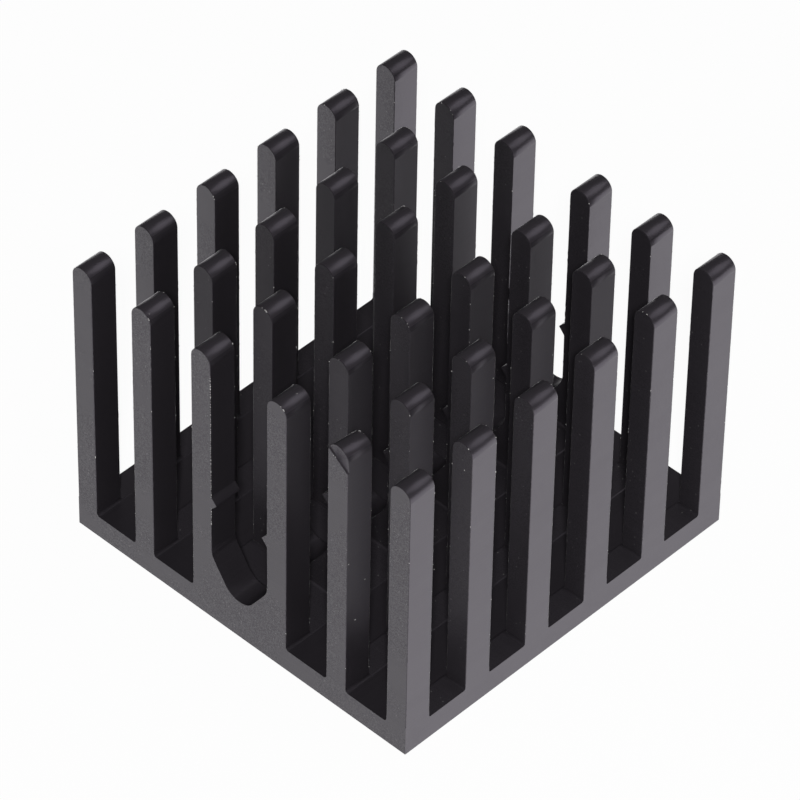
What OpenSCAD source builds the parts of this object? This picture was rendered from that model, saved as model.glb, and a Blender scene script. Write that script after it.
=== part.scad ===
// Pin fin heat sink with a clip channel.
// An extruded bar of six fins, sawn across into square rows of pins, then anodised black.
// X runs across the extrusion, Y along it, Z up. The origin is the centre of the underside.

/* [Base] */
// Width of the base, across the extrusion
base_w = 28; // [26:0.1:40]
// Length of the base, along the extrusion
base_l = 28.1; // [27:0.1:40]
// Thickness of the base under the plain channels
base_t = 1.7; // [1:0.05:2.6]
// Chamfer on the lower edge at -X
chamfer_left = 0.45; // [0.1:0.05:0.8]
// Chamfer on the lower edge at +X
chamfer_right = 0.2; // [0.1:0.05:0.8]

/* [Fins] */
// Height of the pins over the underside
height = 21.8; // [14:0.1:40]
// Thickness of each fin, across X
fin_t = 1.6; // [1:0.05:2]
// Number of fins on each side of the clip channel
fins_a_side = 3; // [2:1:4]
// Radius in the floor corners of the plain channels
root_r = 0.25; // [0.1:0.05:0.5]

/* [Clip channel] */
// Width of the clip channel, wall to wall
clip_w = 4.72; // [4.3:0.02:6]
// Height of the lowest point of its round floor
clip_floor = 3; // [2.8:0.05:4]
// Radius of the round floor
clip_floor_r = 1.4; // [0.8:0.05:1.7]
// Angle of the sloped sides of the floor, from level
clip_slope = 56; // [40:1:65]
// Radius where the sloped sides run into the upright walls
clip_knee_r = 1.5; // [0.5:0.1:2]
// Height of the tip of the barb at -X
barb_z = 9.75; // [8.5:0.05:11]
// How much higher the barb at +X stands
barb_step = 0.1; // [0:0.05:0.3]
// How far each barb stands out of its wall
barb_out = 0.45; // [0.2:0.05:0.7]
// Angle between the two faces of a barb
barb_angle = 96; // [70:1:120]

/* [Cross cuts] */
// Number of saw cuts across the fins
cuts = 5; // [2:1:5]
// Width of a saw cut, along Y
cut_w = 3.15; // [2:0.05:4]
// Distance from one saw cut to the next
cut_pitch = 5.22; // [4.6:0.02:5.6]
// Height of the floor of the saw cuts
cut_floor = 1.74; // [1.2:0.02:2.6]
// Radius that the saw leaves in the corners of a cut
cut_r = 0.15; // [0.05:0.05:0.4]

/* [Nicked pin] */
// Depth of the nick in the end face of one pin
nick_depth = 0.10; // [0.05:0.01:0.3]
// How far below the pin's top the nick starts, at the pin's middle
nick_drop = 1.25; // [0.8:0.05:2]
// Slope of the nick's lower edge, down towards +X
nick_slope = 37; // [0:1:60]
// How far the nick's back leans outwards as it rises
nick_lean = 5; // [0:0.5:8]
// How far that pin's top is pressed down at its outer end
press_drop = 0.13; // [0.05:0.01:0.3]
// How far the pressed top tilts down towards its inner end
press_tilt = 6.5; // [0:0.5:9]

/* [Hidden] */
$fn = 64;
// Cutting tools run past the faces that they cut by this much
past = 1;
// The anodised colour
anodised = "#2c2b2e";
fins = 2 * fins_a_side;
gap_w = (base_w - clip_w - fins * fin_t) / (fins - 2);
fin_pitch = fin_t + gap_w;
top_r = fin_t / 2;
// The sloped sides of the clip channel touch its round floor here
touch_x = clip_floor_r * sin(clip_slope);
touch_z = clip_floor + clip_floor_r * (1 - cos(clip_slope));
// and meet its upright walls here
knee_z = touch_z + (clip_w / 2 - touch_x) * tan(clip_slope);
// and the knee's radius starts this far from that corner, along the wall and along the slope
knee_run = clip_knee_r * tan((90 - clip_slope) / 2);
barb_half = barb_out * tan(barb_angle / 2);
// The nicked pin is the middle one of the +X group, at the -Y end
nick_x = clip_w / 2 + fin_t / 2 + fin_pitch;
// Length along Y of the pins of the two end rows
pin_l = (base_l - cut_w - (cuts - 1) * cut_pitch) / 2;

// Distance from the middle of the bar to the middle of fin i, counted from the clip channel
function fin_x(i) = clip_w / 2 + fin_t / 2 + i * fin_pitch;

// One fin in section, with its full round top
module fin_section() {
    translate([-fin_t / 2, 0])
        square([fin_t, height - top_r]);
    translate([0, height - top_r])
        circle(r = top_r);
}

// The base in section, with its two chamfered lower edges
module base_section() {
    polygon([
        [-base_w / 2 + chamfer_left, 0],
        [base_w / 2 - chamfer_right, 0],
        [base_w / 2, chamfer_right],
        [base_w / 2, base_t + root_r],
        [-base_w / 2, base_t + root_r],
        [-base_w / 2, chamfer_left],
    ]);
}

// A slot w wide that is open at the top, with its floor at z and round corners of radius r
module slot_section(w, z, r) {
    translate([-w / 2 + r, z])
        square([w - 2 * r, height]);
    translate([-w / 2, z + r])
        square([w, height]);
    for (side = [-1, 1])
        translate([side * (w / 2 - r), z + r])
            circle(r = r);
}

// What rounds the knee of the clip channel at +X: the metal between its corner and its radius
module knee_section() {
    wall_end = knee_z + knee_run;
    slope_x = clip_w / 2 - knee_run * cos(clip_slope);
    slope_z = knee_z - knee_run * sin(clip_slope);
    difference() {
        polygon([
            [clip_w / 2, wall_end],
            [slope_x, slope_z],
            [clip_w / 2 + past, slope_z],
            [clip_w / 2 + past, wall_end],
        ]);
        translate([clip_w / 2 - clip_knee_r, wall_end])
            circle(r = clip_knee_r);
    }
}

// The barb on the wall at +X, with its tip at height z
module barb_section(z) {
    polygon([
        [clip_w / 2 + past, z + barb_half],
        [clip_w / 2, z + barb_half],
        [clip_w / 2 - barb_out, z],
        [clip_w / 2, z - barb_half],
        [clip_w / 2 + past, z - barb_half],
    ]);
}

// The clip channel in section: upright walls, sloped sides, a round floor and two barbs
module clip_section() {
    difference() {
        union() {
            polygon([
                [-touch_x, touch_z],
                [touch_x, touch_z],
                [clip_w / 2, knee_z],
                [clip_w / 2, height + past],
                [-clip_w / 2, height + past],
                [-clip_w / 2, knee_z],
            ]);
            translate([0, clip_floor + clip_floor_r])
                circle(r = clip_floor_r);
        }
        barb_section(barb_z + barb_step);
        mirror([1, 0])
            barb_section(barb_z);
        knee_section();
        mirror([1, 0])
            knee_section();
    }
}

// The whole section that the die gives
module bar_section() {
    difference() {
        union() {
            base_section();
            for (side = [-1, 1], i = [0 : fins_a_side - 1])
                translate([side * fin_x(i), 0])
                    fin_section();
            // Solid metal between the middle fins, which the clip channel is then taken out of
            translate([-clip_w / 2, 0])
                square([clip_w, height - top_r]);
        }
        for (side = [-1, 1], i = [0 : fins_a_side - 2])
            translate([side * (fin_x(i) + fin_pitch / 2), 0])
                slot_section(gap_w, base_t, root_r);
        clip_section();
    }
}

// The bar, cut to length
module bar() {
    translate([0, base_l / 2, 0])
        rotate([90, 0, 0])
            linear_extrude(base_l)
                bar_section();
}

// The saw cuts across all the fins
module cross_cuts() {
    for (k = [0 : cuts - 1])
        translate([-base_w / 2 - past, (k - (cuts - 1) / 2) * cut_pitch, 0])
            rotate([90, 0, 90])
                linear_extrude(base_w + 2 * past)
                    slot_section(cut_w, cut_floor, cut_r);
}

// A shallow slanting nick across the top of one pin's end face
module nick() {
    reach = 2 * fin_t;
    translate([nick_x, -base_l / 2 + nick_depth, height - nick_drop])
        rotate([nick_lean, nick_slope, 0])
            translate([-reach, -reach, 0])
                cube([2 * reach, reach, 2 * reach]);
}

// What is gone above the nicked pin's pressed top, which is as round as the others but lower and tilted
module pressed() {
    translate([nick_x, -base_l / 2, height - top_r - press_drop])
        rotate([-press_tilt, 0, 0])
            difference() {
                translate([-fin_t, -past, 0])
                    cube([2 * fin_t, pin_l + 2 * past, fin_t]);
                translate([0, -2 * past, 0])
                    rotate([-90, 0, 0])
                        cylinder(r = top_r, h = pin_l + 4 * past);
            }
}

// The finished heat sink, in one piece
module heat_sink() {
    color(anodised)
        difference() {
            bar();
            cross_cuts();
            nick();
            pressed();
        }
}

heat_sink();
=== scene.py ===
# %% [markdown]
# # A pin fin heat sink of black anodised aluminium
# This small cooler starts as a bar of extruded aluminium with six fins. The bar is sawn to length, sawn
# across five times so that the fins become square pins, and then anodised black. The construction is
# already done: it arrives as a frame, at its real size, and stays where it is. This lesson gives it the
# broken edges, the burrs, the sawn and extruded surfaces, and the light in which black metal shows its
# form.

# %% Load the frame
import math
import random

import bmesh
import bpy
from mathutils import Matrix, Vector, noise


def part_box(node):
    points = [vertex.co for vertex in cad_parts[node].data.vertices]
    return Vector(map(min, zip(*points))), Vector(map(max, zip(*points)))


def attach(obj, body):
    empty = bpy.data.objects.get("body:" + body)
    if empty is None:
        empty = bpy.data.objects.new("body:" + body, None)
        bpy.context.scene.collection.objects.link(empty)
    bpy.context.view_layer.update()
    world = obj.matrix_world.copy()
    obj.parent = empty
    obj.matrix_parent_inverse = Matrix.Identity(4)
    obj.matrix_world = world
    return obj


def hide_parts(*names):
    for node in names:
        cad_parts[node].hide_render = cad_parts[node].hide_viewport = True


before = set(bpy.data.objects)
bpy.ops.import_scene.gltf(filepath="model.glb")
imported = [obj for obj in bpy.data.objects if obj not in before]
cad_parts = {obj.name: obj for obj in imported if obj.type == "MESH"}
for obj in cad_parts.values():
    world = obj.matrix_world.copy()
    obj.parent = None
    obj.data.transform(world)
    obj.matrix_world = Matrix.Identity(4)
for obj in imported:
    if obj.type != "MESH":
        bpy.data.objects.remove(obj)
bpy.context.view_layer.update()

# %% [markdown]
# Everything is in metres, so millimetres are written with a factor. X runs across the extrusion, Y along
# it, and Z up the pins. The sizes that the finish needs are read off the frame. All chance in this lesson
# comes from one seeded source, so that it gives the same heat sink every time.

# %% Sizes
MM = 0.001
SEED = 7
SINK = "heat_sink"

low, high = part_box(SINK)
centre = (low + high) / 2
draw = random.Random(SEED)
print("width, length, height in mm:", [round(v / MM, 2) for v in high - low])

# %% [markdown]
# ## One closed body
# The frame's mesh is loose triangles, which is right for measuring but not for finishing: an edge can
# only be broken where two faces share it. Modelling the part again would risk a second, slightly
# different heat sink. So the triangles are copied and merged, and the flat faces lose their inner edges.

# %% Merge the triangles
WELD = 0.0005 * MM
SAME_PLANE = math.radians(0.3)


def merged_copy(node):
    """A bmesh of the node with its corners merged and its flat faces whole."""
    mesh = bmesh.new()
    mesh.from_mesh(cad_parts[node].data)
    bmesh.ops.remove_doubles(mesh, verts=mesh.verts, dist=WELD)
    bmesh.ops.dissolve_limit(
        mesh,
        angle_limit=SAME_PLANE,
        use_dissolve_boundaries=False,
        verts=mesh.verts,
        edges=mesh.edges,
        delimit=set(),
    )
    return mesh


body = merged_copy(SINK)
print("merged:", len(body.verts), "corners,", len(body.faces), "faces")

# %% [markdown]
# ## Broken edges
# Nothing cut from metal has a perfectly sharp edge: tumbling and the anodising bath take it down to a few
# hundredths of a millimetre. That narrow band is what catches light along a pin. A Bevel modifier would
# treat every edge alike, also the hair-fine steps of the fillets at the pins' feet, so the operator does
# it, and only on chosen edges: the sharp ones that stand proud, above the feet. The barbs in the clip
# channel are out of reach of the tumbling, and stay sharp. A level cut at the feet ends the bevels cleanly.

# %% Choose the edges
FOOT = 2.3 * MM
BARBS_END = 2.3 * MM
SHARP = math.radians(30)
HAIR = 0.0001 * MM
SQUARE = 0.9


def level_cut(mesh, height):
    """Cuts every face at this height, and takes nothing away."""
    bmesh.ops.bisect_plane(
        mesh,
        geom=[*mesh.verts, *mesh.edges, *mesh.faces],
        dist=HAIR,
        plane_co=(0, 0, height),
        plane_no=(0, 0, 1),
    )


def breaks(edge):
    """True for a sharp edge that stands proud, above the feet and clear of the barbs."""
    return (
        edge.is_convex
        and edge.calc_face_angle() > SHARP
        and min(corner.co.z for corner in edge.verts) > FOOT - 10 * HAIR
        and min(abs(corner.co.x) for corner in edge.verts) > BARBS_END
    )


def is_sawn(edge):
    """True where one of the edge's two faces looks along Y, as the saw leaves it."""
    return max(abs(face.normal.y) for face in edge.link_faces) > SQUARE


def facing(edge):
    """The direction halfway between the edge's two faces."""
    return sum((face.normal for face in edge.link_faces), Vector()).normalized()


level_cut(body, FOOT)
sharp = [edge for edge in body.edges if breaks(edge)]
sawn_edges = []
for edge in filter(is_sawn, sharp):
    start, end = (corner.co.copy() for corner in edge.verts)
    sawn_edges.append((start, end, facing(edge)))
print(len(sharp), "edges to break, of which", len(sawn_edges), "were sawn")

# %% [markdown]
# The sawn edges are remembered where they were before the bevel, because the burrs come to sit there
# later. The bevel has two segments, so that it reads as rounded and not as a chamfer.

# %% Bevel them
EDGE_BREAK = 0.035 * MM

bmesh.ops.bevel(
    body,
    geom=sharp,
    offset=EDGE_BREAK,
    offset_type="OFFSET",
    segments=2,
    profile=0.5,
    affect="EDGES",
    material=-1,
    clamp_overlap=False,
)
print("open edges:", sum(not edge.is_manifold for edge in body.edges))
print("volume in cubic mm:", round(body.calc_volume() / MM**3, 1))

# %% [markdown]
# A broken edge is not even: the blade leaves it ragged and the bath rounds what is left. The long bevel
# strips are cut into short lengths and their corners are nudged. A corner slides within the flat face
# that it borders, so the faces stay flat and the body keeps its size. The exception is where a bevel ends
# at a barb: two corners there border two flat faces, and end a hundredth of a millimetre proud of one.
# How far a corner may slide comes from a slow noise, so that an edge is ragged in patches and clean
# between them.

# %% Rag the edges
RAG_STEP = 0.20 * MM
RAG = 0.028 * MM
PATCHES_PER_METRE = 420.0
PATCH_CONTRAST = 1.6
ROUND_TOP = high.z - 1.0 * MM
FLAT = 0.9999
TURNED = 0.999


def edge_wear(place):
    """How ragged an edge is here, from 0 to 1."""
    wear = 0.5 + PATCH_CONTRAST * noise.noise(place * PATCHES_PER_METRE)
    return max(0.0, min(1.0, wear))


def squareness(face):
    """1 for a face that is square to X, Y or Z, and less for one that is turned."""
    return max(map(abs, face.normal))


cut_height = FOOT + RAG_STEP
while cut_height < ROUND_TOP:
    level_cut(body, cut_height)
    cut_height += RAG_STEP * draw.uniform(0.6, 1.4)

nudged = 0
body.normal_update()
for corner in body.verts:
    flats = [face for face in corner.link_faces if squareness(face) > FLAT]
    strips = [face for face in corner.link_faces if squareness(face) < TURNED]
    if flats and strips and FOOT + RAG_STEP <= corner.co.z <= ROUND_TOP:
        slide = RAG * edge_wear(corner.co) * draw.uniform(-1, 1)
        sideways = (0, 1, 0) if abs(flats[0].normal.x) > SQUARE else (1, 0, 0)
        corner.co += slide * Vector(sideways)
        nudged += 1
print("nudged", nudged, "corners; the body now has", len(body.faces), "faces")

# %% [markdown]
# ## Which face gets which finish
# The saw only leaves faces that turn towards Y, and the floors of its own cuts. All the others came from
# the die and have no Y in their normal, so the normal tells the two apart. One pin was knocked and its
# round top leans a little towards Y, so near the tops the test allows for a lean.
#
# Each kind comes in an outer and an inner finish. The outer finish goes on the outer skin, the round tops,
# and the walls beside the mouths of the slots at -X and of the channels at +Y. The inner finish, on the
# walls deeper in, is a shaded copy that stands in for the shade between the pins: it has less gloss on both
# kinds, and on the extruded walls a darker black, which is painted shade. Flat faces are shaded flat, and
# the rest smooth, so round tops look round.

# %% Find the floor of the saw cuts
def looks_up(face):
    """True for a level face that looks up."""
    return face.normal.z > TURNED


body.normal_update()
floors = [face.calc_center_median().z for face in body.faces if looks_up(face)]
cut_floor = max(height for height in floors if height < FOOT)
print("the floor of the saw cuts is at", round(cut_floor / MM, 2), "mm")

# %% Sort the faces
EXTRUDED, SAWN, INNER = 0, 1, 2
SKIN = 0.17 * MM
MOUTH = 2.9 * MM
TOPS = high.z - 1.8 * MM
LEAN = 0.3
UPWARD = 0.5
SAW_TURN = 0.02
SAME_LEVEL = 0.01 * MM


def gets_outer_finish(face):
    """True for faces that keep the outer finish: the outer skin, the round tops and the walls at the
    mouths; deeper faces get the shaded copy.
    """
    place = face.calc_center_median()
    across, along, _ = map(abs, face.normal)
    skin = abs(place.x) > high.x - SKIN or abs(place.y) > high.y - SKIN
    slot_mouth = along > SQUARE and place.x < low.x + MOUTH
    channel_mouth = across > SQUARE and place.y > high.y - MOUTH
    top = place.z > TOPS and along < LEAN and face.normal.z > UPWARD
    return skin or top or (place.z > FOOT and (slot_mouth or channel_mouth))


def kind(face):
    """SAWN or EXTRUDED, from the way the face is turned and where it is."""
    place = face.calc_center_median()
    limit = LEAN if place.z > TOPS else SAW_TURN
    on_cut_floor = looks_up(face) and abs(place.z - cut_floor) < SAME_LEVEL
    return SAWN if abs(face.normal.y) > limit or on_cut_floor else EXTRUDED


# Faces deep between the pins get the inner finish, a shaded copy with painted shade.
for face in body.faces:
    face.material_index = kind(face) + (0 if gets_outer_finish(face) else INNER)
    face.smooth = squareness(face) < FLAT
counts = [sum(face.material_index == index for face in body.faces) for index in range(4)]
print("faces of each finish:", counts)

# %% [markdown]
# ## Streaks
# Every tool writes its own lines into metal. The die draws them along Y, the blade along X. Both are a
# noise that is squeezed across the tool's path, so its blobs become long streaks; a second, coarser layer
# gives broad bands. An image of scratches would need a map of the surface, while this reads the object's
# own coordinates and runs round every corner. It is a shader group, so that both tools can use it.


# %% Streak groups
def new_group(name, inputs, outputs):
    """An empty shader group with float inputs and outputs."""
    group = bpy.data.node_groups.new(name, "ShaderNodeTree")
    for label, value in inputs.items():
        socket = group.interface.new_socket(label, in_out="INPUT", socket_type="NodeSocketFloat")
        socket.default_value = value
    for label in outputs:
        group.interface.new_socket(label, in_out="OUTPUT", socket_type="NodeSocketFloat")
    return group, group.nodes.new("NodeGroupInput"), group.nodes.new("NodeGroupOutput")


def stretched(tree, x, y, z):
    """Object coordinates, each multiplied by its own factor."""
    coordinates = tree.nodes.new("ShaderNodeTexCoord")
    product = tree.nodes.new("ShaderNodeVectorMath")
    product.operation = "MULTIPLY"
    product.inputs[1].default_value = (x, y, z)
    tree.links.new(coordinates.outputs["Object"], product.inputs[0])
    return product.outputs[0]


def noise_at(tree, vector, scale, detail):
    """A Noise texture's value at these coordinates; the scale may be a number or a socket."""
    node = tree.nodes.new("ShaderNodeTexNoise")
    node.inputs["Detail"].default_value = detail
    if isinstance(scale, bpy.types.NodeSocket):
        tree.links.new(scale, node.inputs["Scale"])
    else:
        node.inputs["Scale"].default_value = scale
    tree.links.new(vector, node.inputs["Vector"])
    return node.outputs["Fac"]


def streak_group(name, x, y, z):
    """Fine streaks and broad bands, drawn out along the axis that has the smallest factor."""
    group, given, result = new_group(name, {"Scale": 1.0}, ["Streaks", "Bands"])
    scale = given.outputs["Scale"]
    fine = noise_at(group, stretched(group, x, y, z), scale, 3.0)
    broad = noise_at(group, stretched(group, x * 0.12, y * 0.3, z * 0.12), scale, 2.0)
    group.links.new(fine, result.inputs["Streaks"])
    group.links.new(broad, result.inputs["Bands"])
    return group


DIE_LINES = streak_group("die_lines", 7000.0, 60.0, 7000.0)
SAW_LINES = streak_group("saw_lines", 130.0, 6000.0, 6000.0)
print("made", DIE_LINES.name, "and", SAW_LINES.name)

# %% [markdown]
# ## Specks
# Pale dust lies on the metal. Here and there a lighter dot is a painted glint: a painted highlight in the
# colour, for a crystal of the etched surface that catches the light. Both are small round dots, far apart.
# A Voronoi texture fits: it divides space into cells, and a dot is drawn around the centre of a cell, but
# only in a share of the cells, which each cell's own random colour picks.


# %% Speck group
def maths(tree, operation, first, second, clamp=False):
    """A Math node; each of the two may be a number or a socket."""
    node = tree.nodes.new("ShaderNodeMath")
    node.operation = operation
    node.use_clamp = clamp
    for socket, value in zip(node.inputs, (first, second)):
        if isinstance(value, bpy.types.NodeSocket):
            tree.links.new(value, socket)
        else:
            socket.default_value = value
    return node.outputs[0]


def cells_at(tree, scale, randomness=1.0):
    """A Voronoi texture's distance to its cell's centre, and the cell's own random number."""
    cells = tree.nodes.new("ShaderNodeTexVoronoi")
    cells.inputs["Randomness"].default_value = randomness
    tree.links.new(stretched(tree, 1, 1, 1), cells.inputs["Vector"])
    tree.links.new(scale, cells.inputs["Scale"])
    split = tree.nodes.new("ShaderNodeSeparateColor")
    tree.links.new(cells.outputs["Color"], split.inputs[0])
    return cells.outputs["Distance"], split.outputs[0]


def speck_group():
    """Round specks, at most one to a cell, and only in a share of the cells."""
    inputs = {"Cells": 900.0, "Size": 0.04, "Share": 0.1}
    group, given, result = new_group("dust_and_painted_glint_specks", inputs, ["Mask"])
    distance, chance = cells_at(group, given.outputs["Cells"], randomness=0.9)
    near = maths(group, "LESS_THAN", distance, given.outputs["Size"])
    chosen = maths(group, "LESS_THAN", chance, given.outputs["Share"])
    group.links.new(maths(group, "MULTIPLY", near, chosen), result.inputs["Mask"])
    return group


SPECKS = speck_group()
print("made", SPECKS.name)

# %% [markdown]
# ## Grain
# Etching and anodising leave a pebbled skin: a fine grain, pores that are open or closed, and broad
# patches in which all of that shows more or less. The pores mix cells with noise: cells alone give hard
# tiles, and noise alone is too smooth to glitter.

# %% Grain group
CELL_SHARE = 0.30
PATCH_SCALE = 260.0


def grain_group():
    """The pebbled skin of anodised metal."""
    group, given, result = new_group("anodic_grain", {"Scale": 9000.0}, ["Grain", "Patches", "Pores"])
    scale = given.outputs["Scale"]
    place = stretched(group, 1, 1, 1)
    fine = noise_at(group, place, scale, 2.0)
    broad = noise_at(group, place, PATCH_SCALE, 3.0)
    _, cell = cells_at(group, scale)
    hard = maths(group, "MULTIPLY", cell, CELL_SHARE)
    soft = maths(group, "MULTIPLY", fine, 1 - CELL_SHARE)
    group.links.new(maths(group, "ADD", hard, soft), result.inputs["Pores"])
    group.links.new(fine, result.inputs["Grain"])
    group.links.new(broad, result.inputs["Patches"])
    return group


GRAIN = grain_group()
print("made", GRAIN.name)

# %% [markdown]
# ## Black anodised aluminium
# The black is a dye in a clear oxide, a few microns of alumina over the metal. What the eye sees is the
# gloss of that skin, so the shader is a dark plain one with alumina's index and no metal in it. The dye is
# a little violet, and so is its gloss. The colour moves between two blacks with the tool's streaks. It also
# carries the dust and the painted glints, which are lighter dots that stand for glints.

# %% Colour
# The spots are painted glints, a painted highlight in the colour; the dust is real pale dust.
PAINTED_GLINT_COLOUR = (0.10, 0.098, 0.10)
DUST_COLOUR = (0.55, 0.55, 0.53)
PAINTED_GLINT_CELLS = 6500.0
PAINTED_GLINT_SIZE = 0.30


def place_group(tree, group, **values):
    """Puts a shader group into a material, with its own values."""
    node = tree.nodes.new("ShaderNodeGroup")
    node.node_tree = group
    for label, value in values.items():
        node.inputs[label].default_value = value
    return node


def mix_colours(tree, factor, under, over):
    """A colour between two, each a triple or a socket."""
    node = tree.nodes.new("ShaderNodeMix")
    node.data_type = "RGBA"
    tree.links.new(factor, node.inputs["Factor"])
    for label, value in (("A", under), ("B", over)):
        socket = next(s for s in node.inputs if s.name == label and s.type == "RGBA")
        if isinstance(value, bpy.types.NodeSocket):
            tree.links.new(value, socket)
        else:
            socket.default_value = (*value, 1.0)
    return next(s for s in node.outputs if s.type == "RGBA")


def dyed_colour_with_painted_glints(tree, blacks, streaks, patchiness, painted_glints):
    """Two blacks in streaks, with painted glints (lighter dots for glints) where the grain is strong, and
    dust over all.
    """
    colour = mix_colours(tree, streaks, *blacks)
    if painted_glints:
        painted_glint_spots = place_group(tree, SPECKS, Cells=PAINTED_GLINT_CELLS, Size=PAINTED_GLINT_SIZE)
        tree.links.new(maths(tree, "MULTIPLY", patchiness, painted_glints), painted_glint_spots.inputs["Share"])
        colour = mix_colours(tree, painted_glint_spots.outputs["Mask"], colour, PAINTED_GLINT_COLOUR)
    dust = place_group(tree, SPECKS)
    return mix_colours(tree, dust.outputs["Mask"], colour, DUST_COLOUR)


print("glints are", round(PAINTED_GLINT_SIZE / PAINTED_GLINT_CELLS / MM, 3), "mm in radius")

# %% [markdown]
# The oxide is sealed in hot water, which closes most of its pores. A closed pore carries a thin bright
# film, an open one does not, and that is the speckle of the sawn faces. The film is the shader's coat, and
# the pores set its weight. The roughness wanders with the patches and the tool's bands, and a very small
# bump gives the grain and the streaks a height.

# %% Film and relief
PATCH_FROM = 0.40
PATCH_GAIN = 5.0
EVEN = 0.5
WANDER = 0.08
STREAK_HEIGHT = 0.5


def patch_strength(tree, patches):
    """How strongly the grain shows here, from 0 to 1."""
    above = maths(tree, "SUBTRACT", patches, PATCH_FROM)
    return maths(tree, "MULTIPLY", above, PATCH_GAIN, clamp=True)


def film_weight(tree, pores, patchiness, contrast, weight):
    """The coat's weight: half of the full weight on average, and more where pores are closed."""
    strength = maths(tree, "MULTIPLY", patchiness, contrast)
    closed = maths(tree, "MULTIPLY", maths(tree, "SUBTRACT", pores, EVEN), strength)
    closed = maths(tree, "ADD", closed, EVEN, clamp=True)
    return maths(tree, "MULTIPLY", closed, weight)


def wandering(tree, patches, bands, roughness):
    """A roughness that is a little uneven in patches and bands."""
    uneven = maths(tree, "MULTIPLY", maths(tree, "ADD", patches, bands), WANDER)
    return maths(tree, "ADD", uneven, roughness - WANDER)


def relief(tree, grain, streaks, depth):
    """The bumped normal of grain with streaks."""
    node = tree.nodes.new("ShaderNodeBump")
    node.inputs["Strength"].default_value = 1.0
    node.inputs["Distance"].default_value = depth
    height = maths(tree, "ADD", grain, maths(tree, "MULTIPLY", streaks, STREAK_HEIGHT))
    tree.links.new(height, node.inputs["Height"])
    return node.outputs["Normal"]


print("the film weighs", EVEN, "of its full weight on average")

# %% [markdown]
# One function puts these together. What is the same all over a surface is typed into the shader's own
# socket: the index, the level and tint of the gloss, how rough the film is, and a faint sheen. The sheen
# stands for the thinnest film of dust, which shows as a pale rim where a round top turns away.

# %% One anodised finish
ALUMINA_INDEX = 1.77
VIOLET_TINT = (0.925, 0.833, 1.0, 1.0)
DUST_FILM = 0.20
DUST_FILM_ROUGHNESS = 0.12


def anodised(name, tool, blacks, roughness, gloss, film, film_rough, grain, pores, depth, painted_glints=0.0):
    """Black anodised aluminium as one tool left it."""
    material = bpy.data.materials.new(name)
    material.use_nodes = True
    tree = material.node_tree
    shader = tree.nodes["Principled BSDF"].inputs
    shader["IOR"].default_value = ALUMINA_INDEX
    shader["Specular IOR Level"].default_value = gloss
    shader["Specular Tint"].default_value = VIOLET_TINT
    shader["Coat Roughness"].default_value = film_rough
    shader["Sheen Weight"].default_value = DUST_FILM
    shader["Sheen Roughness"].default_value = DUST_FILM_ROUGHNESS

    skin = place_group(tree, GRAIN, Scale=grain).outputs
    lines = place_group(tree, tool).outputs
    patchiness = patch_strength(tree, skin["Patches"])
    made = {
        "Base Color": dyed_colour_with_painted_glints(tree, blacks, lines["Streaks"], patchiness, painted_glints),
        "Coat Weight": film_weight(tree, skin["Pores"], patchiness, pores, film),
        "Roughness": wandering(tree, skin["Patches"], lines["Bands"], roughness),
        "Normal": relief(tree, skin["Grain"], lines["Streaks"], depth),
    }
    for label, output in made.items():
        tree.links.new(output, shader[label])
    return material


print("alumina's index is", ALUMINA_INDEX)

# %% [markdown]
# The four finishes differ in their tool, and in how much gloss and speckle they have. The two inner ones
# are shaded copies for the deep walls: less gloss, fewer painted glints, and on the extruded walls a darker
# black, which is painted shade. The sawn faces have the finer grain, the stronger speckle and the painted
# glints. Their order follows the numbers that the faces were sorted by.

# %% Four finishes
DIE_BLACK = ((0.0185, 0.0165, 0.0194), (0.0235, 0.0210, 0.0247))
# The second pair of extruded blacks is darker: painted shade for the deep walls between the pins.
DIE_BLACK_PAINTED_SHADE = ((0.0160, 0.0143, 0.0168), (0.0204, 0.0182, 0.0214))
SAW_BLACK = ((0.0205, 0.0184, 0.0216), (0.0275, 0.0246, 0.0290))
DIE_GRAIN = 12000.0
SAW_GRAIN = 16000.0

finishes = [
    anodised(
        "anodised_extruded",
        tool=DIE_LINES,
        blacks=DIE_BLACK,
        roughness=0.34,
        gloss=0.66,
        film=0.30,
        film_rough=0.12,
        grain=DIE_GRAIN,
        pores=2.4,
        depth=0.006 * MM,
    ),
    anodised(
        "anodised_sawn",
        tool=SAW_LINES,
        blacks=SAW_BLACK,
        roughness=0.40,
        gloss=0.27,
        film=0.58,
        film_rough=0.40,
        grain=SAW_GRAIN,
        pores=9.0,
        depth=0.010 * MM,
        painted_glints=0.09,
    ),
    # The inner finishes are shaded copies: painted shade and less gloss for the deep walls between the
    # pins.
    anodised(
        "anodised_extruded_inner_painted_shade",
        tool=DIE_LINES,
        blacks=DIE_BLACK_PAINTED_SHADE,
        roughness=0.38,
        gloss=0.38,
        film=0.15,
        film_rough=0.16,
        grain=DIE_GRAIN,
        pores=2.0,
        depth=0.005 * MM,
    ),
    anodised(
        "anodised_sawn_inner_shaded_copy",
        tool=SAW_LINES,
        blacks=SAW_BLACK,
        roughness=0.42,
        gloss=0.18,
        film=0.36,
        film_rough=0.42,
        grain=SAW_GRAIN,
        pores=5.0,
        depth=0.008 * MM,
        painted_glints=0.03,
    ),
]
print("finishes:", [material.name for material in finishes])

# %% [markdown]
# ## The finished body
# The worked mesh becomes an object at the origin. It rides with the heat sink's body, wears the four
# finishes in the order the faces were sorted by, and stands in for the plain solid, which stays in the
# frame for its collisions.


# %% Make the body
def new_piece(mesh, name, materials):
    """Turns a bmesh into an object that rides with the heat sink and wears these materials."""
    data = bpy.data.meshes.new(name)
    mesh.to_mesh(data)
    mesh.free()
    for material in materials:
        data.materials.append(material)
    piece = bpy.data.objects.new(name, data)
    bpy.context.scene.collection.objects.link(piece)
    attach(piece, "root")
    return piece


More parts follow.
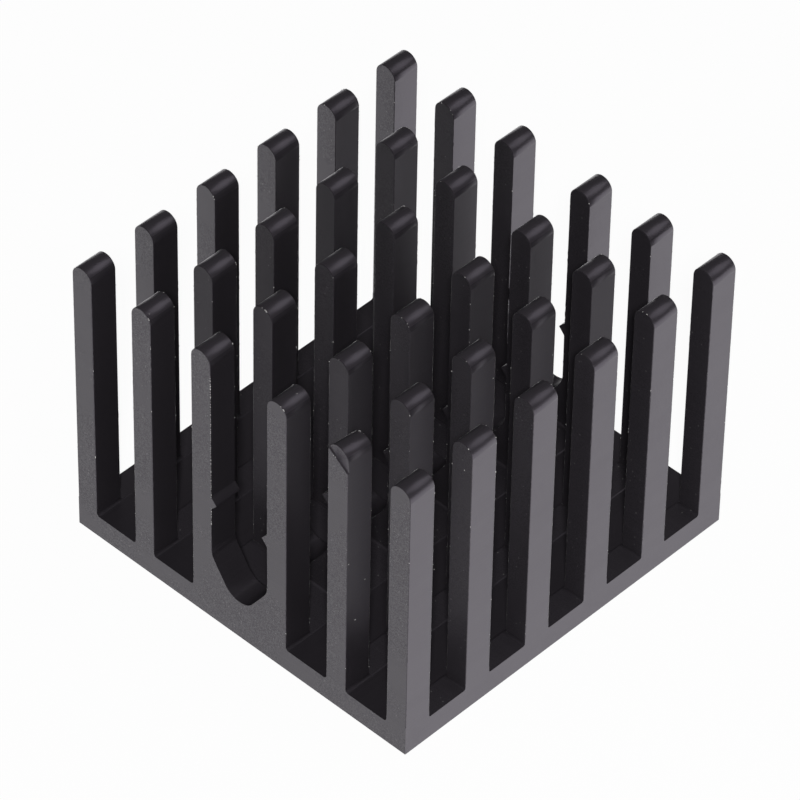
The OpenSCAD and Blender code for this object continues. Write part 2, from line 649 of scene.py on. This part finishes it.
sink_body = new_piece(body, "pin_fin_body", finishes)
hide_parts(SINK)
print(sink_body.name, "has", len(sink_body.data.polygons), "faces")

# %% [markdown]
# ## Burrs
# The saw also pushes a little metal out over the edges it leaves. Most of it goes in tumbling. What stays
# is a crumb here and there, a few hundredths of a millimetre across, and where its tip broke off after
# the bath it shines. Each crumb is a small ball, drawn out along its edge and knocked out of round. It
# sits half in the body, and its corners are held inside the heat sink's own box. More of them hold on
# round the tops than down the upright edges, which rub on one another in the tumbler.

# %% Crumbs along the sawn edges
CRUMB_STEP = 1.3 * MM
CRUMB_LONG = (0.022 * MM, 0.060 * MM)
CRUMB_HIGH = (0.016 * MM, 0.036 * MM)
CRUMB_SUNK = 0.012 * MM
KNOCK = 0.3
INSIDE = 0.002 * MM
UPRIGHT = 0.99
UPRIGHT_SHARE = 0.22


def add_crumb(mesh, place, along, outward, size=1.0):
    """One closed crumb on an edge, at this place."""
    across = along.cross(outward)
    turn = Matrix((along, across, outward)).transposed().to_4x4()
    long = size * draw.uniform(*CRUMB_LONG)
    high_by = size * draw.uniform(*CRUMB_HIGH)
    shape = Matrix.Translation(place) @ turn @ Matrix.Diagonal((long, high_by, high_by, 1))
    ball = bmesh.ops.create_icosphere(mesh, subdivisions=1, radius=1.0, matrix=shape)
    for corner in ball["verts"]:
        corner.co += Vector([draw.uniform(-KNOCK, KNOCK) * high_by for _ in range(3)])
        for axis in range(3):
            inside = max(corner.co[axis], low[axis] + INSIDE)
            corner.co[axis] = min(inside, high[axis] - INSIDE)


def is_upright(edge):
    """True for an edge that runs straight up a pin."""
    start, end, _ = edge
    return abs((end - start).normalized().z) > UPRIGHT


crumbs = bmesh.new()
placed = 0
for edge in sawn_edges:
    start, end, outward = edge
    share = UPRIGHT_SHARE if is_upright(edge) else 1.0
    count = (end - start).length / CRUMB_STEP * share
    count = int(count) + (draw.random() < count % 1)
    for _ in range(count):
        place = start.lerp(end, draw.random())
        if draw.random() < edge_wear(place):
            add_crumb(crumbs, place - outward * CRUMB_SUNK, (end - start).normalized(), outward)
            placed += 1
print("placed", placed, "crumbs")

# %% [markdown]
# A few burrs are larger and have their own places, on the round tops near the front, where the blade left
# the metal. They are given by fin and by pin end, both counted from 0, and by their angle from upright.
# Each is three crumbs that run together. The nearest sawn edge is looked up, so a burr always sits on one.

# %% Larger burrs
LARGER_BURRS = ((4, 1, -24, 1.4), (1, 0, 60, 1.5), (3, 0, 40, 1.5), (2, 2, 27, 1.5), (2, 2, 20, 1.2))
BURR_SPREAD = 0.05 * MM
BURR_SUNK = 0.008 * MM
PIN_HEIGHT = 15 * MM
LEVEL_GAP = 0.2 * MM


def flat_levels(axis):
    """Where the pins' flat faces stand along an axis, in order; near neighbours count as one."""
    places = sorted(
        face.center[axis]
        for face in sink_body.data.polygons
        if abs(face.normal[axis]) > FLAT and face.center.z > PIN_HEIGHT
    )
    levels = places[:1]
    for place in places:
        if place - levels[-1] > LEVEL_GAP:
            levels.append(place)
    return levels


def nearest(edges, wanted):
    """The edge whose middle is nearest to a place."""
    return min(edges, key=lambda edge: ((edge[0] + edge[1]) / 2 - wanted).length)


fin_sides = flat_levels(0)
pin_ends = flat_levels(1)
for fin, end_index, angle, size in LARGER_BURRS:
    left, right = fin_sides[2 * fin : 2 * fin + 2]
    radius = (right - left) / 2
    lean = math.radians(angle)
    wanted = Vector(
        (
            left + radius * (1 + math.sin(lean)),
            pin_ends[end_index],
            high.z - radius * (1 - math.cos(lean)),
        )
    )
    start, end, outward = nearest(sawn_edges, wanted)
    along = (end - start).normalized()
    for _ in range(3):
        place = (start + end) / 2 + along * draw.uniform(-BURR_SPREAD, BURR_SPREAD)
        add_crumb(crumbs, place - outward * BURR_SUNK, along, outward, size)
        placed += 1
print("fin sides in mm:", [round(side / MM, 2) for side in fin_sides])
print("pin ends in mm:", [round(end / MM, 2) for end in pin_ends])

# %% [markdown]
# One upright edge at the front is torn: the blade was dull there and left a row of small teeth. The same
# crumbs do it, set close together up that edge.

# %% A torn edge
TORN_FIN_SIDE = 5
TORN_FROM = 8.0 * MM
TORN_TO = 20.3 * MM
TORN_STEP = (0.08 * MM, 0.28 * MM)
TORN_SIZE = (0.7, 1.5)
TORN_SUNK = 0.010 * MM

torn_at = Vector((fin_sides[TORN_FIN_SIDE], pin_ends[0], (TORN_FROM + TORN_TO) / 2))
start, end, outward = nearest(filter(is_upright, sawn_edges), torn_at)
tooth_height = TORN_FROM
while tooth_height < TORN_TO:
    place = Vector((start.x, start.y, tooth_height)) - outward * TORN_SUNK
    add_crumb(crumbs, place, Vector((0, 0, 1)), outward, draw.uniform(*TORN_SIZE))
    placed += 1
    tooth_height += draw.uniform(*TORN_STEP)
print("now", placed, "crumbs")

# %% [markdown]
# Bare aluminium that has been out in the air for a while is grey and not quite a mirror. A crumb is only
# a few hundredths of a millimetre across, far below any pattern of its own, so its material is plain.
# Laying each ball along its edge also mirrored it, which turns a shape inside out, so the normals are
# recalculated. A signed volume above zero shows that the faces now look outwards.

# %% Make the burrs
bare = bpy.data.materials.new("bare_metal")
bare.use_nodes = True
bare_shader = bare.node_tree.nodes["Principled BSDF"].inputs
bare_shader["Base Color"].default_value = (0.66, 0.65, 0.64, 1)
bare_shader["Metallic"].default_value = 0.5
bare_shader["Roughness"].default_value = 0.35
bmesh.ops.recalc_face_normals(crumbs, faces=crumbs.faces)
print("the burrs hold", round(crumbs.calc_volume(signed=True) / MM**3, 4), "cubic mm")
burrs = new_piece(crumbs, "saw_burrs", [bare])
print(burrs.name, "has", len(burrs.data.polygons), "faces")

# %% [markdown]
# ## Floor
# Black metal is seen by what it mirrors. The floor is a white sweep, and shows white to the camera and to
# gloss, while a small share of it is lit like any surface, which keeps the shadow. More light would make
# the floor as white, but would wash out the black.

# %% Floor
FLOOR_SIDE = 3.0
SHOWN = 0.95
PAPER = (0.95, 0.95, 0.95, 1)


def floor_material():
    """White to the camera and to gloss, with a share that takes light and shadow."""
    material = bpy.data.materials.new("white_sweep")
    material.use_nodes = True
    tree = material.node_tree
    paint = tree.nodes["Principled BSDF"]
    paint.inputs["Base Color"].default_value = PAPER
    paint.inputs["Roughness"].default_value = 0.9
    paint.inputs["Specular IOR Level"].default_value = 0.0
    glow = tree.nodes.new("ShaderNodeEmission")
    rays = tree.nodes.new("ShaderNodeLightPath").outputs
    seen = maths(tree, "MAXIMUM", rays["Is Camera Ray"], rays["Is Glossy Ray"])
    seen = maths(tree, "MAXIMUM", seen, rays["Is Transmission Ray"])
    mix = tree.nodes.new("ShaderNodeMixShader")
    tree.links.new(maths(tree, "MULTIPLY", seen, SHOWN), mix.inputs["Fac"])
    tree.links.new(paint.outputs[0], mix.inputs[1])
    tree.links.new(glow.outputs[0], mix.inputs[2])
    tree.links.new(mix.outputs[0], tree.nodes["Material Output"].inputs["Surface"])
    return material


sweep = bmesh.new()
bmesh.ops.create_grid(sweep, x_segments=1, y_segments=1, size=FLOOR_SIDE / 2)
floor_mesh = bpy.data.meshes.new("floor")
sweep.to_mesh(floor_mesh)
sweep.free()
floor_mesh.materials.append(floor_material())
floor = bpy.data.objects.new("floor", floor_mesh)
bpy.context.scene.collection.objects.link(floor)
print("floor", FLOOR_SIDE, "m across")

# %% [markdown]
# ## Room
# Above the horizon the room is dim, so faces that look up stay darker than those that mirror the floor.
# A plain grey world does that. It also fills the shadows a little from all sides.

# %% Room
DIM = (0.077, 0.076, 0.076, 1)

room = bpy.data.worlds.new("dim_room")
room.use_nodes = True
room.node_tree.nodes["Background"].inputs["Color"].default_value = DIM
bpy.context.scene.world = room
print("room light", DIM[:3])

# %% [markdown]
# ## Camera
# The heat sink is seen from a corner and from well above, with a long lens from some way off, as small
# parts are shown for sale: the pins stay almost parallel and all of them can be counted.

# %% Camera
AZIMUTH, ELEVATION, ROLL = (math.radians(v) for v in (43.146, 43.711, 1.138))
DISTANCE = 391.9 * MM
AIM_OFFSET = Vector((0.084, -0.266, -0.28)) * MM
SENSOR = 36.0
LENS = 289.8

to_camera = Vector(
    (
        math.sin(AZIMUTH) * math.cos(ELEVATION),
        -math.cos(AZIMUTH) * math.cos(ELEVATION),
        math.sin(ELEVATION),
    )
)
camera_data = bpy.data.cameras.new("camera")
camera_data.sensor_width = SENSOR
camera_data.lens = LENS
camera_data.clip_start = 0.01
camera_data.clip_end = 20.0
camera = bpy.data.objects.new("camera", camera_data)
camera.location = centre + AIM_OFFSET + to_camera * DISTANCE
upright_view = (-to_camera).to_track_quat("-Z", "Y").to_matrix().to_4x4()
camera.rotation_euler = (upright_view @ Matrix.Rotation(ROLL, 4, "Z")).to_euler()
bpy.context.scene.collection.objects.link(camera)
bpy.context.scene.camera = camera
print("camera at", [round(v / MM, 2) for v in camera.location], "mm")

# %% [markdown]
# ## Lamps
# A soft box behind, on the right, draws the streak along the round tops. The gaps between the pins are
# deep and narrow, and only light that comes down the line of sight reaches their floors, so a second,
# small box stands far out behind the camera. It is hidden from gloss, because so small a lamp would
# show as a hot spot in the film.


# %% Lamps
def soft_box(name, direction, distance, side, radiance):
    """A square lamp that faces the heat sink; its power follows from the brightness of its face."""
    lamp = bpy.data.lights.new(name, "AREA")
    lamp.shape = "SQUARE"
    lamp.size = side
    lamp.energy = radiance * math.pi * side**2
    holder = bpy.data.objects.new(name, lamp)
    towards = direction.normalized()
    holder.location = centre + towards * distance
    holder.rotation_euler = towards.to_track_quat("Z", "Y").to_euler()
    bpy.context.scene.collection.objects.link(holder)
    return holder


BEHIND_RIGHT = Vector((0.43, 0.53, 0.73))
streak_box = soft_box("streak_box", BEHIND_RIGHT, distance=0.55, side=0.40, radiance=0.60)
front_box = soft_box("front_box", to_camera, distance=0.90, side=0.06, radiance=620.0)
front_box.visible_glossy = False
print("lamps in watts:", [round(box.data.energy, 3) for box in (streak_box, front_box)])

# %% [markdown]
# ## Finish
# The colours go to the screen as they are.

# %% Finish
bpy.context.scene.view_settings.view_transform = "Standard"
